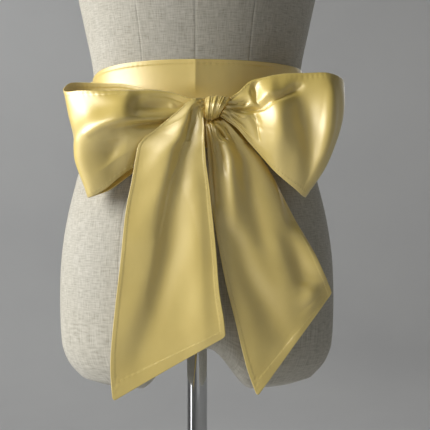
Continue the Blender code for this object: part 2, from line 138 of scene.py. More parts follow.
# Cloth: its own thickness, that of the solids which stand for it, and the room under each lap
CLOTH = 0.6
CLOTH_SOLID = 1.5
SKIN_GAP = 0.5
LAP_GAP = 0.6
SASH_WIDTH = 130
RIPPLE_HEIGHT = 0.28
RIPPLE_LENGTH = 46.0
RIPPLE_WAVES = 9
HEM = 5.6
HEM_THICKNESS = 0.55
HEM_EASE = 0.8
END_HEM = 13.0
CORNER_RADIUS = 4.5
EDGE_LINES = 12
EDGE_MARGIN = 2.5
PUCKER_PITCH = 6.3
PUCKER_HEIGHT = 0.17
PUCKER_REACH = 3.0

# Stitches: how far in from a side and from the fold of an end hem, and the shape of each
STITCH_INSET = 4.7
END_STITCH_INSET = 0.8
END_STITCH_SKIP = 6
STITCH_LENGTH = 2.0
STITCH_PITCH = 3.0
STITCH_START = 0.3
STITCH_RADIUS = 0.11
STITCH_TIP = 0.35
STITCH_TIP_SIZE = 0.5
STITCH_SINK = 0.25

# A fold's height falls off towards both its ends, and all folds ease in beside the knot
PATH_STEPS = 6
FOLD_TAPER = 0.65
FOLD_MARGIN = 0.12
FOLD_EASE = 0.06

BAND_BOTTOM = 861
# Top edge of the first lap, which dips at the viewer's left side
BAND_TOP_ROWS = [
    # angle, top
    (-180, 957),
    (-140, 952),
    (-105, 947),
    (-80, 950),
    (-58, 957),
    (-30, 961),
    (0, 962),
    (60, 961),
    (120, 959),
    (180, 957),
]
# Height of the flat band, and the radius at which turns are counted as lengths of it
BAND_HEIGHT = 100.0
BAND_RADIUS = 128
BAND_PUCKERS = 0.6
BAND_COLUMNS = 620
BAND_LINES = 46
# The columns are finer at the centre front, this many degrees to each side
BAND_FRONT = 9
BAND_FRONT_COLUMNS = 61
CREASE_HEIGHT = 3.0
CREASE_WIDTH = 11.0
CREASE_FADE = (918, 936)

# Second lap: angle from the centre front, top and bottom heights, and lift off the first lap
WRAP_RIGHT_ROWS = [
    # angle, top, bottom, lift
    (10.5, 914, 897, 0.9),
    (20.0, 919, 886, 0.9),
    (33.0, 929, 873, 0.3),
    (52.5, 939, 862, 0.1),
    (75.0, 947, 859, 0.0),
    (105.0, 953, 858, 0.0),
    (135.0, 956, 857, 0.0),
    (158.0, 957, 856, 0.0),
    (168.0, 957, 856, 1.3),
    (176.0, 957, 856, 2.8),
    (188.0, 958, 856, 2.8),
]
WRAP_LEFT_ROWS = [
    (7.0, 913, 897, 0.0),
    (-6.0, 916, 890, 0.2),
    (-26.0, 925, 876, 0.3),
    (-52.5, 938, 863, 0.1),
    (-75.0, 946, 860, 0.0),
    (-105.0, 951, 858, 0.0),
    (-135.0, 954, 857, 0.0),
    (-164.0, 955, 857, 0.1),
    (-176.0, 955, 857, 0.4),
]
WRAP_END_SLANT = 9.0
WRAP_END_REACH = 12
WRAP_RADIUS = 132
WRAP_PUCKERS = 0.5
WRAP_COLUMNS = 300
WRAP_LINES = 46
WRAP_PLEATS = 3
WRAP_PLEAT_DEPTH = 1.2
WRAP_PLEAT_REACH = 38.0

# Bow: every row below is measured from the knot's place on the form's front
KNOT_PLACE = (25.0, 0.0, 905.0)
LOOP_LEFT_ROWS = [
    # top_x, top_z, bottom_x, bottom_z, top_out, middle_out, bottom_out, middle_shift
    (-14.2, 6, -14.2, -11, 132, 133, 132, 0),
    (-30, 8, -30, -22, 131, 134, 130, 0),
    (-52, 15, -52, -38, 128, 137, 128, 0),
    (-77, 18, -77, -56, 129, 143, 127, 0),
    (-103, 15, -101, -73, 133, 149, 128, 0),
    (-129, 16, -120, -88, 132, 146, 128, 0),
    (-152, 18, -134, -96, 124, 136, 122, 0),
    (-168, 18, -142, -99, 114, 123, 114, 0),
    (-174, 22, -146, -100, 103, 108, 104, 0),
    (-169, 30, -145, -100, 93, 95, 95, 0),
    (-156, 32, -137, -97, 87, 86, 91, 0),
    (-134, 31, -122, -91, 88, 85, 92, 0),
    (-106, 29, -102, -77, 96, 93, 98, 0),
    (-78, 21, -78, -59, 106, 103, 106, 0),
    (-53, 15, -53, -40, 113, 112, 112, 0),
    (-31, 8, -31, -22, 117, 118, 117, 0),
    (-14.2, 6, -14.2, -10, 120, 121, 120, 0),
]
LOOP_RIGHT_ROWS = [
    (14.9, 9, 2.9, -11, 132, 133, 132, 0),
    (25, 17, 22, -25, 131, 134, 130, 0),
    (37, 28, 36, -41, 128, 137, 129, 0),
    (54, 32, 49, -56, 127, 145, 128, 0),
    (75, 36, 62, -70, 126, 152, 128, 1),
    (96, 37, 75, -82, 125, 146, 127, 4),
    (116, 37, 86, -91, 124, 143, 123, 8),
    (133, 35, 94, -98, 119, 140, 117, 11),
    (142, 31, 99, -100, 105, 122, 106, 13),
    (138, 30, 96, -95, 90, 97, 95, 12),
    (124, 30, 89, -86, 85, 87, 91, 8),
    (100, 30, 77, -74, 86, 86, 92, 4),
    (77, 28, 63, -61, 92, 93, 97, 0),
    (55, 24, 50, -46, 100, 103, 105, 0),
    (38, 17, 36, -33, 108, 112, 111, 0),
    (25, 11, 22, -20, 115, 118, 116, 0),
    (13.6, 7, 3.8, -9, 120, 121, 120, 0),
]
LOOP_LENGTH = 360
LOOP_COLUMNS = 276
LOOP_LINES = 100
LOOP_GATHERS = (5, 1.0, 16.0)   # how many across, how high, how far they reach from the knot

# Folds in the cloth, laid out on the flat strip: the path of each, as places along the strip from the knot
# and across it from its top edge, how wide it is on each side, and its height. A trough's is negative.
LOOP_LEFT_FOLDS = [
    # path, width_above, width_below, height
    ([(88, 6), (90, 44)], 16, 9, 6.0),
    ([(92, 45), (107, 47), (127, 54), (143, 70), (148, 95), (146, 118)], 17, 22, 11.0),
    ([(34, 38), (54, 36), (72, 36)], 14, 13, -7.0),
    ([(38, 34), (46, 36)], 9, 9, 3.0),
    ([(34, 76), (56, 66), (74, 56), (92, 51), (108, 52), (124, 58)], 9, 4, 3.5),
    ([(38, 83), (58, 73), (76, 63), (92, 58)], 4, 7, -3.0),
    ([(99, 72), (103, 88), (102, 104)], 19, 18, -8.5),
    ([(62, 84), (64, 110)], 12, 12, 3.5),
    ([(16, 6), (84, 6)], 5, 7, 2.0),
    ([(225, 30), (330, 60)], 14, 14, 3.5),
    ([(235, 95), (338, 78)], 10, 10, -3.0),
]
LOOP_RIGHT_FOLDS = [
    ([(14, 67), (45, 60), (58, 53), (77, 38), (91, 29), (104, 20)], 6, 5, -6.0),
    ([(51, 12), (53, 42)], 8, 4, -4.5),
    ([(28, 52), (36, 48)], 5, 4, -3.5),
    ([(73, 10), (75, 40)], 8, 12, 3.6),
    ([(49, 66), (56, 86)], 9, 5, -3.0),
    ([(6, 72), (20, 80), (40, 75)], 4, 4, 2.5),
    ([(5, 92), (16, 106), (30, 108)], 4, 4, 2.0),
    ([(84, 46), (87, 66), (91, 80)], 9, 19, 3.5),
    ([(104, 24), (112, 38), (118, 54), (127, 76), (140, 97), (150, 112)], 13, 12, -7.0),
    ([(142, 12), (146, 28), (149, 56), (153, 84)], 9, 15, 6.5),
    ([(225, 35), (330, 60)], 14, 14, 3.5),
    ([(235, 92), (338, 76)], 10, 10, -3.0),
]

# A tail's rows run from the knot down; left and right are the viewer's
TAIL_LEFT_ROWS = [
    # left_x, left_z, right_x, right_z, left_out, middle_out, right_out, middle_shift
    (-14.8, 8, -14.8, -8, 141, 141, 141, 0),
    (-30, 4, -15.5, -14, 144, 144, 146, 0),
    (-47, -10, -15, -25, 146, 145, 149, 0),
    (-65, -25, -15, -36, 146, 146, 151, 0),
    (-84, -41, -14, -49, 145, 146, 151, 0),
    (-89, -58, -13, -64, 143, 144, 150, 0),
    (-94, -84, -10, -86, 140, 140, 147, 0),
    (-101, -117, -7, -112, 135, 135, 144, 0),
    (-107, -170, -2, -159, 129, 129, 139, 0),
    (-114, -227, 2, -203, 124, 125, 136, 0),
    (-119, -283, 7, -234, 121, 123, 134, 0),
    (-117, -328, 9, -254, 120, 122, 132, 0),
]
TAIL_RIGHT_ROWS = [
    (-12, -15.6, 3, -15.6, 124, 124, 124, 0),
    (-13, -23.5, 13, -21.5, 128, 131, 125, 0),
    (-12, -37, 30, -39, 130, 134, 120, 0),
    (-11, -57, 48, -61, 131, 135, 116, 0),
    (-9, -87, 65, -87, 131, 133, 112, 0),
    (-5, -119, 82, -116, 130, 129, 110, 0),
    (1, -154, 100, -151, 128, 125, 109, 0),
    (9, -195, 114, -179, 126, 121, 108, 0),
    (20, -239, 123, -194, 124, 118, 107, 0),
    (32, -288, 127, -202, 122, 116, 106, 0),
    (44, -322, 129, -208, 121, 115, 105, 0),
]
TAIL_LENGTH = 330
TAIL_COLUMNS = 250
TAIL_END_COLUMNS = 26
TAIL_LINES = 100
TAIL_GATHERS = (4, 0.8, 14.0)

# Folds on the tails: places along from the knot and across from the tail's left edge
TAIL_LEFT_FOLDS = [
    # path, width_left, width_right, height
    ([(26, 24), (44, 42), (60, 58), (97, 72), (132, 66), (178, 58), (229, 45), (262, 36)], 42, 12, 8.0),
    ([(34, 36), (46, 52), (56, 64), (75, 77), (100, 87)], 3, 7, -3.5),
    ([(60, 82), (97, 92), (130, 89), (165, 81), (190, 76), (228, 66), (268, 50), (300, 36)], 14, 20, -4.0),
    ([(190, 112), (310, 106)], 18, 12, 3.0),
    ([(4, 40), (18, 26)], 4, 4, -3.0),
]
TAIL_RIGHT_FOLDS = [
    ([(6, 76), (22, 104), (42, 116), (64, 118)], 6, 5, 4.5),
    ([(38, 64), (60, 72)], 9, 7, -6.0),
    ([(33, 8), (150, 6)], 6, 6, -4.0),
    ([(76, 37), (112, 33)], 7, 6, -2.5),
    ([(72, 60), (100, 56), (127, 46), (178, 32)], 10, 14, 4.0),
    ([(64, 98), (100, 92), (124, 80), (150, 72), (192, 69)], 17, 15, -6.0),
    ([(190, 28), (228, 32), (268, 46), (308, 56)], 15, 16, -6.0),
    ([(86, 123), (105, 123), (140, 117), (172, 106)], 28, 10, 7.0),
    ([(196, 86), (235, 84), (262, 82)], 18, 12, 3.0),
    ([(206, 108), (246, 102)], 10, 9, -2.5),
    ([(192, 124), (228, 130), (254, 128)], 15, 9, 7.0),
    ([(262, 100), (290, 104)], 16, 12, 5.0),
]

# Small creases and slight turns of an edge beside the main folds, which the solids leave out
LOOP_LEFT_CREASES = [
    # path, width_above, width_below, height
    ([(38, 66), (50, 73), (60, 71), (72, 63), (86, 57), (98, 57)], 2.0, 5.0, -1.8),
    ([(76, 16), (80, 30), (79, 42), (73, 52)], 3.0, 5.0, -1.4),
    ([(30, 22), (46, 13), (62, 12)], 2.2, 3.0, -1.0),
    ([(22, 52), (36, 60), (46, 66)], 2.2, 2.2, -1.0),
]
LOOP_RIGHT_CREASES = [
    ([(13, 71), (25, 72), (39, 70), (50, 61), (68, 50), (80, 39), (94, 23), (109, 15)], 2.0, 3.6, -2.0),
    ([(47, 10), (44, 23), (49, 39), (53, 47)], 5.0, 2.0, -1.8),
    ([(45, 76), (54, 90), (60, 106)], 2.4, 5.0, -1.8),
    ([(12, 84), (24, 90), (36, 82)], 2.2, 2.2, 1.3),
    ([(14, 46), (28, 40), (38, 44)], 2.4, 2.4, -1.2),
    ([(16, 112), (34, 116), (50, 120)], 2.4, 3.0, -1.0),
]
TAIL_LEFT_CREASES = [
    # path, width_left, width_right, height
    ([(39, 47), (56, 65), (97, 83), (131, 81), (157, 75), (178, 65), (209, 58), (224, 52)], 8.0, 2.2, -2.4),
    ([(12, 60), (26, 84), (40, 104)], 2.4, 2.4, -0.9),
    ([(58, 131), (110, 131), (165, 131), (240, 131)], 27.0, 10.0, -2.9),
]
TAIL_RIGHT_CREASES = [
    ([(43, 47), (57, 41), (68, 47), (71, 58), (62, 80)], 2.6, 2.6, 1.6),
    ([(14, 98), (34, 104), (50, 104), (66, 100)], 4.0, 2.0, -2.0),
    ([(20, 30), (48, 26), (90, 22)], 2.4, 2.4, -1.1),
]

# Knot: a wrap of pleats across the middle of the bow, upright at the left and leaning at the right
KNOT_LEFT = (-13.6, -2.0)
KNOT_RIGHT = (8.0, -0.9)
KNOT_HALF_HEIGHTS = (11.8, 10.2)
KNOT_RIGHT_LEAN = 6.2
KNOT_BULGE = 1.8
KNOT_BACK_OUT = 99.5
KNOT_FRONT_OUT = 148.0
KNOT_END = 0.86
KNOT_SIDE_START = 0.86
KNOT_TURN_IN = 0.16
KNOT_SINK = 0.7
KNOT_RADIUS = 16.0
KNOT_HALF_CLOTH = 30.0
KNOT_COLUMNS = 110
KNOT_SIDES = 130
KNOT_WALL = 1.0
# Pleats of the knot: place across it from -1 at the left to 1 at the right, width and height
KNOT_PLEAT_ROWS = [
    # place, width, height
    (-0.90, 0.05, 0.5),
    (-0.66, 0.12, 1.3),
    (-0.38, 0.07, 0.6),
    (-0.10, 0.14, 1.2),
    (0.20, 0.06, 0.5),
    (0.36, 0.06, 0.9),
    (0.55, 0.05, 1.3),
    (0.72, 0.05, 0.7),
    (0.88, 0.05, 1.1),
]


def curve_through(rows, places):
    """Points at places from 0 to 1 on a smooth curve through evenly numbered rows."""
    rows = np.asarray(rows, dtype=float)
    last = len(rows) - 1
    position = np.clip(np.asarray(places, dtype=float), 0.0, 1.0) * last
    index = np.minimum(position.astype(int), last - 1)
    t = (position - index)[..., None]
    padded = np.vstack((2 * rows[0] - rows[1], rows, 2 * rows[-1] - rows[-2]))
    before, here, after, beyond = (padded[index + k] for k in range(4))
    return 0.5 * (2 * here + (after - before) * t + (2 * before - 5 * here + 4 * after - beyond) * t ** 2
                  + (3 * here - before - 3 * after + beyond) * t ** 3)


def smooth_step(low, high, value):
    t = np.clip((np.asarray(value, dtype=float) - low) / (high - low), 0.0, 1.0)
    return t * t * (3 - 2 * t)


def look_up(rows, keys):
    """Values at keys, on a smooth curve through rows whose first column is the key."""
    listed = [row[0] for row in rows]
    places = np.interp(keys, listed, np.arange(len(listed))) / (len(listed) - 1)
    return curve_through([row[1:] for row in rows], places)


def form_plan(angles, sizes):
    """Points on rounded sections, where an angle runs from the centre front to the viewer's right."""
    sine, cosine = np.sin(np.radians(angles)), np.cos(np.radians(angles))
    power = 2.0 / FORM_SQUARENESS
    depth = np.where(cosine > 0, sizes[..., 1], sizes[..., 2])
    x = sizes[..., 0] * np.sign(sine) * np.abs(sine) ** power
    y = -depth * np.sign(cosine) * np.abs(cosine) ** power
    return x, y


def form_point(angles, heights, offset=0.0):
    """Points on the form, moved straight out of it by an offset in millimetres."""
    angles, heights = np.broadcast_arrays(np.asarray(angles, float), np.asarray(heights, float))

    def place(angle, height):
        x, y = form_plan(angle, look_up(FORM_ROWS, height))
        return np.stack((x, y, height), axis=-1)

    step = 0.5
    round_way = place(angles + step, heights) - place(angles - step, heights)
    upwards = place(angles, heights + step) - place(angles, heights - step)
    normal = np.cross(round_way, upwards)
    normal /= np.linalg.norm(normal, axis=-1, keepdims=True)
    return place(angles, heights) + normal * np.asarray(offset, float)[..., None]


def fold_lift(along, across, folds):
    """Height in millimetres of all the folds at places on the flat strip."""
    lift = np.zeros_like(along)
    for path, before, after, height in folds:
        spots = np.asarray(path, dtype=float)
        if len(spots) > 2:
            spots = curve_through(spots, np.linspace(0, 1, PATH_STEPS * len(spots)))
        runs = np.diff(spots, axis=0)
        lengths = np.linalg.norm(runs, axis=1)
        starts = np.concatenate(([0.0], np.cumsum(lengths)))
        nearest = np.full(along.shape, np.inf)
        side = np.zeros_like(along)
        travelled = np.zeros_like(along)
        for spot, run, length, start in zip(spots, runs, lengths, starts):
            du, dv = along - spot[0], across - spot[1]
            share = np.clip((du * run[0] + dv * run[1]) / length ** 2, 0.0, 1.0)
            distance = np.hypot(du - run[0] * share, dv - run[1] * share)
            closer = distance < nearest
            nearest = np.where(closer, distance, nearest)
            side = np.where(closer, (run[0] * dv - run[1] * du) / length, side)
            travelled = np.where(closer, (start + share * length) / starts[-1], travelled)
        turn = np.clip(side / np.maximum(nearest, 1e-6), -1.0, 1.0)
        width = before + (after - before) * (0.5 + 0.5 * turn)
        middle = np.sin(np.pi * (FOLD_MARGIN + (1 - 2 * FOLD_MARGIN) * travelled))
        taper = (1 - FOLD_TAPER) + FOLD_TAPER * middle
        lift += height * taper * np.exp(-(nearest / width) ** 2)
    return lift


def ripples(along, across, seed):
    """Faint uneven waves in cloth, as a sum of long waves in many directions."""
    draws = np.random.RandomState(seed)
    total = np.zeros_like(along)
    for _ in range(RIPPLE_WAVES):
        turn = draws.uniform(0, 2 * np.pi)
        pitch = RIPPLE_LENGTH * draws.uniform(0.6, 1.7)
        phase = draws.uniform(0, 2 * np.pi)
        wave = along * math.cos(turn) + across * math.sin(turn)
        total += np.sin(2 * np.pi * wave / pitch + phase)
    return total * RIPPLE_HEIGHT / math.sqrt(RIPPLE_WAVES)


def edge_lines(width, count):
    """Places across a strip, closer together in the hems at its edges."""
    edge = np.linspace(0, HEM + EDGE_MARGIN, EDGE_LINES)
    middle = np.linspace(HEM + EDGE_MARGIN, width - HEM - EDGE_MARGIN, count + 3 - 2 * EDGE_LINES)
    return np.concatenate((edge, middle[1:-1], width - edge[::-1])) / width


def hem_wall(distance, width):
    """Extra thickness at a distance from an edge whose hem is folded over to a width."""
    return HEM_THICKNESS * (1 - smooth_step(width - HEM_EASE, width, distance))


def hem_puckers(distance, along, phase):
    """Height of the small puckers at a distance from a hemmed edge, which drift in pitch and strength."""
    drift = 0.9 * np.sin(along / 17.0 + phase) + 0.6 * np.sin(along / 7.3 + 2 * phase)
    wave = np.sin(2 * np.pi * along / PUCKER_PITCH + drift)
    wave = wave * (0.25 + 0.75 * np.sin(along / 31.0 + 3 * phase) ** 2)
    reach = np.exp(-((distance - STITCH_INSET) / PUCKER_REACH) ** 2)
    return PUCKER_HEIGHT * wave * reach


def side_hems(along, across, width):
    """Thickness of a strip with a hem along both edges, and the height of their puckers."""
    thickness = np.full(along.shape, CLOTH)
    puckers = np.zeros_like(along)
    for phase, distance in ((0.3, across), (1.7, width - across)):
        thickness = np.maximum(thickness, CLOTH + hem_wall(distance, HEM))
        puckers += hem_puckers(distance, along, phase)
    return thickness, puckers


def surface_normals(grid, ring=False):
    """Unit normals of a grid of points."""
    if ring:
        along = np.roll(grid, -1, axis=0) - np.roll(grid, 1, axis=0)
    else:
        along = np.gradient(grid, axis=0)
    normal = np.cross(along, np.gradient(grid, axis=1))
    return normal / np.maximum(np.linalg.norm(normal, axis=2, keepdims=True), 1e-9)


def new_object(name, verts, faces, flat=None):
    """Mesh object from points in millimetres, with the flat cloth's places as its UV map."""
    mesh = bpy.data.meshes.new(name)
    mesh.from_pydata((np.asarray(verts) * MM).tolist(), [], faces)
    if flat is not None:
        layer = mesh.uv_layers.new(name="cloth")
        corners = np.zeros(len(mesh.loops), dtype=int)
        mesh.loops.foreach_get("vertex_index", corners)
        layer.data.foreach_set("uv", (np.asarray(flat)[corners] * MM).astype(np.float32).ravel())
    mesh.shade_smooth()
    item = bpy.data.objects.new(name, mesh)
    bpy.context.scene.collection.objects.link(item)
    return item


def cloth_object(name, grid, thickness, places, ring=False):
    """Closed cloth wall round a grid of middle points; a ring joins its last column to its first."""
    normal = surface_normals(grid, ring)
    half = thickness[..., None] / 2
    front, back = grid + normal * half, grid - normal * half
    columns, lines = grid.shape[:2]
    verts = np.concatenate((front.reshape(-1, 3), back.reshape(-1, 3)))
    flat = np.concatenate((places.reshape(-1, 2), places.reshape(-1, 2)))
    lift = columns * lines
    faces = []
    spans = columns if ring else columns - 1
    for i in range(spans):
        a, b = i * lines, ((i + 1) % columns) * lines
        for j in range(lines - 1):
            faces.append((a + j, b + j, b + j + 1, a + j + 1))
            faces.append((lift + a + j, lift + a + j + 1, lift + b + j + 1, lift + b + j))
        faces.append((a, lift + a, lift + b, b))
        end = lines - 1
        faces.append((a + end, b + end, lift + b + end, lift + a + end))
    if not ring:
        last = (columns - 1) * lines
        for j in range(lines - 1):
            faces.append((j, j + 1, lift + j + 1, lift + j))
            faces.append((last + j, lift + last + j, lift + last + j + 1, last + j + 1))
    return new_object(name, verts, faces, flat)


def stitch_object(name, rows):
    """Short raised stitches along lines of points, each line with the normals to stand on."""
    verts, faces = [], []
    for points, normals in rows:
        runs = np.linalg.norm(np.diff(points, axis=0), axis=1)
        travelled = np.concatenate(([0.0], np.cumsum(runs)))
        for k in range(int(travelled[-1] / STITCH_PITCH)):
            start = (k + STITCH_START) * STITCH_PITCH
            first, last = (np.array([np.interp(place, travelled, points[:, c]) for c in range(3)])
                           for place in (start, start + STITCH_LENGTH))
            index = min(int(np.searchsorted(travelled, start)), len(normals) - 1)
            up = normals[index]
            run = last - first
            run /= max(np.linalg.norm(run), 1e-9)
            side = np.cross(run, up)
            base = len(verts)
            sections = ((first, STITCH_TIP_SIZE), (first + run * STITCH_TIP, 1),
                        (last - run * STITCH_TIP, 1), (last, STITCH_TIP_SIZE))
            for spot, shrink in sections:
                for across, high in ((-1, 0), (0, 1), (1, 0)):
                    verts.append(spot + side * STITCH_RADIUS * across * shrink
                                 + up * STITCH_RADIUS * (high * shrink - STITCH_SINK))
            for ring in range(3):
                for s in range(3):
                    n = (s + 1) % 3
                    here, after = base + 3 * ring, base + 3 * (ring + 1)
                    faces.append((here + s, here + n, after + n, after + s))
            faces.append((base, base + 2, base + 1))
            faces.append((base + 9, base + 10, base + 11))
    return new_object(name, verts, faces)


def rounded_corners(grid, along, across, length):
    """The grid with the two corners at a tail's end pulled in to a small radius."""
    lengthwise = np.gradient(grid, axis=0) / np.gradient(along, axis=0)[..., None]
    crosswise = np.gradient(grid, axis=1) / np.gradient(across, axis=1)[..., None]
    past = np.maximum(along - (length - CORNER_RADIUS), 0)
    for sign, beyond in ((-1, CORNER_RADIUS - across), (1, across - (SASH_WIDTH - CORNER_RADIUS))):
        beyond = np.maximum(beyond, 0)
        reach = np.hypot(past, beyond)
        shrink = np.where(reach > 0, np.maximum(past, beyond) / np.maximum(reach, 1e-9), 1.0) - 1
        grid = (grid + lengthwise * (past * shrink)[..., None]
                + crosswise * (sign * beyond * shrink)[..., None])
    return grid


def strip_grid(rows, length, columns, lines, folds, seed, gathers, ends_hem):
    """Middle surface, thickness and flat places of a loop, or of a tail when its end is hemmed."""
    table = np.asarray(rows, dtype=float)
    top = np.column_stack((table[:, 0], -table[:, 4], table[:, 1]))
    low = np.column_stack((table[:, 2], -table[:, 6], table[:, 3]))
    middle = (top + low) / 2
    middle[:, 0] += table[:, 7]
    middle[:, 1] = -table[:, 5]
    u = np.linspace(0, 1, columns)
    if ends_hem:
        u = np.concatenate((np.linspace(0, 1 - FOLD_EASE, columns - TAIL_END_COLUMNS),
                            np.linspace(1 - FOLD_EASE, 1, TAIL_END_COLUMNS + 1)[1:]))
    v = edge_lines(SASH_WIDTH, lines)
    a, m, b = (curve_through(line, u)[:, None, :] for line in (top, middle, low))
    w = v[None, :, None]
    grid = (1 - w) * (1 - 2 * w) * a + 4 * w * (1 - w) * m + w * (2 * w - 1) * b
    along, across = np.meshgrid(u * length, v * SASH_WIDTH, indexing="ij")
    ease = smooth_step(0.0, FOLD_EASE, u)[:, None]
    if not ends_hem:
        ease = ease * (1 - smooth_step(1 - FOLD_EASE, 1.0, u)[:, None])
    normal = surface_normals(grid)
    if normal[len(u) // 4, len(v) // 2, 1] > 0:
        normal = -normal
    lift = fold_lift(along, across, folds) * ease
    lift += ripples(along, across, seed) * ease
    count, depth, reach = gathers
    root = np.exp(-along / reach)
    if not ends_hem:
        root = root + np.exp(-(length - along) / reach)
    lift += depth * root * np.sin(2 * np.pi * count * across / SASH_WIDTH + 0.8 * np.sin(across / 21.0))
    thickness, puckers = side_hems(along, across, SASH_WIDTH)
    lift += puckers * ease
    if ends_hem:
        distance = length - along
        thickness = np.maximum(thickness, CLOTH + hem_wall(distance, END_HEM))
        wave = np.sin(2 * np.pi * across / PUCKER_PITCH + np.sin(across / 13.0))
        near = np.exp(-((distance - END_HEM + END_STITCH_INSET) / PUCKER_REACH) ** 2)
        lift += 0.6 * PUCKER_HEIGHT * wave * near
    grid = grid + normal * lift[..., None] + np.array(KNOT_PLACE)
    if ends_hem:
        grid = rounded_corners(grid, along, across, length)
    return grid, thickness, np.stack((along, across), axis=-1)


def hem_stitches(name, grid, thickness, places, ends_hem, ring=False):
    """Stitches along the hems of a strip, on both of its faces."""
    normal = surface_normals(grid, ring)
    across = places[0, :, 1]
    rows = []
    for inset in (STITCH_INSET, across[-1] - STITCH_INSET):
        j = int(np.argmin(np.abs(across - inset)))
        for face in (1, -1):
            up = normal[:, j] * face
            points = grid[:, j] + up * thickness[:, j, None] / 2
            rows.append((points, up))
    if ends_hem:
        along = places[:, 0, 0]
        i = int(np.argmin(np.abs(along - (along[-1] - END_HEM + END_STITCH_INSET))))
        inner = slice(END_STITCH_SKIP, -END_STITCH_SKIP)
        for face in (1, -1):
            up = normal[i, inner] * face
            rows.append((grid[i, inner] + up * thickness[i, inner, None] / 2, up))
    return stitch_object(name, rows)


def band_grid():
    """First lap: a ring on the form, with the sash's centre fold as a ridge at the centre front."""
    fine = np.linspace(-BAND_FRONT, BAND_FRONT, BAND_FRONT_COLUMNS)
    rest = BAND_COLUMNS - BAND_FRONT_COLUMNS
    coarse = np.linspace(BAND_FRONT, 360 - BAND_FRONT, rest + 2)[1:-1]
    angles = np.concatenate((fine, coarse))
    angle, place = np.meshgrid(angles, edge_lines(BAND_HEIGHT, BAND_LINES), indexing="ij")
    turned = np.where(angle > 180, angle - 360, angle)
    top = look_up(BAND_TOP_ROWS, turned)[..., 0]
    level = top - (top - BAND_BOTTOM) * place
    along, across = np.radians(turned) * BAND_RADIUS, BAND_HEIGHT * place
    ridge = CREASE_HEIGHT * np.exp(-np.abs(along) / CREASE_WIDTH) * smooth_step(*CREASE_FADE, level)
    ripple = 0.12 * np.sin(along / 23.0 + across / 19.0) + 0.1 * np.sin(along / 51.0 - across / 11.0)
    thickness, puckers = side_hems(along, across, BAND_HEIGHT)
    offset = SKIN_GAP + CLOTH_SOLID / 2 + ridge + ripple + BAND_PUCKERS * puckers
    return form_point(angle, level, offset), thickness, np.stack((along, across), axis=-1)


def wrap_grid(rows, side):
    """Second lap on one side, 1 for the viewer's right, from the knot to the crossing at the back."""
    rest = SKIN_GAP + CLOTH_SOLID + LAP_GAP + CLOTH_SOLID / 2
    turns = [(side * row[0], *row[1:]) for row in rows]
    first, last = turns[0][0], turns[-1][0]
    away, place = np.meshgrid(np.linspace(first, last, WRAP_COLUMNS), edge_lines(SASH_WIDTH, WRAP_LINES),
                              indexing="ij")
    top, bottom, lift = np.moveaxis(look_up(turns, away), -1, 0)
    slant = side * WRAP_END_SLANT * (0.5 - place) * smooth_step(last - WRAP_END_REACH, last, away)
    near = 1 - np.minimum(away - first, WRAP_PLEAT_REACH) / WRAP_PLEAT_REACH
    pleat = WRAP_PLEAT_DEPTH * near * (0.5 - 0.5 * np.cos(2 * np.pi * WRAP_PLEATS * place))
    along, across = np.radians(away) * WRAP_RADIUS, SASH_WIDTH * place
    ripple = 0.15 * np.sin(along / 19.0 + across / 13.0 + side)
    ripple += 0.5 * near * np.sin(2 * np.pi * 6 * place + 1.0)
    thickness, puckers = side_hems(along, across, SASH_WIDTH)
    level = top + (bottom - top) * place
    offset = rest + lift + pleat + ripple + WRAP_PUCKERS * puckers
    return form_point(side * (away + slant), level, offset), thickness, np.stack((along, across), axis=-1)


def knot_grid():
    """The knot's wrap: a ring round the middle of the bow, pleated across and turned in at both sides."""
    centre_out = (KNOT_BACK_OUT + KNOT_FRONT_OUT) / 2
    half_depth = (KNOT_FRONT_OUT - KNOT_BACK_OUT) / 2
    angles = np.linspace(0, 2 * np.pi, KNOT_SIDES + 1)[:-1]
    places = np.linspace(-1.0, 1.0, KNOT_COLUMNS)
    angle, place = np.meshgrid(angles, places, indexing="ij")
    share = (place + 1) / 2
    high, forward = np.sin(angle), np.cos(angle)
    middle_x = KNOT_LEFT[0] + (KNOT_RIGHT[0] - KNOT_LEFT[0]) * share
    middle_z = KNOT_LEFT[1] + (KNOT_RIGHT[1] - KNOT_LEFT[1]) * share
    half = KNOT_HALF_HEIGHTS[0] + (KNOT_HALF_HEIGHTS[1] - KNOT_HALF_HEIGHTS[0]) * share
    half = half + KNOT_BULGE * (1 - place ** 2)
    depth = half_depth * (KNOT_END + (1 - KNOT_END) * (1 - place ** 4))
    turn_in = 1 - KNOT_TURN_IN * smooth_step(KNOT_SIDE_START, 1.0, np.abs(place))
    lift = np.full(place.shape, -KNOT_SINK)
    for spot, width, height in KNOT_PLEAT_ROWS:
        wander = 0.03 * np.sin(2 * angle + 9 * spot)
        lift += height * np.exp(-((place - spot - wander) / width) ** 2)
    scale = turn_in + lift / KNOT_RADIUS * smooth_step(-0.5, 0.2, forward)
    x = middle_x + KNOT_RIGHT_LEAN * share * high
    y = -centre_out - depth * forward * scale
    z = middle_z + half * high * scale
    grid = np.stack((x, y, z), axis=-1) + np.array(KNOT_PLACE)
    places = np.stack((angle * KNOT_RADIUS, place * KNOT_HALF_CLOTH), axis=-1)
    return grid, np.full(lift.shape, KNOT_WALL), places


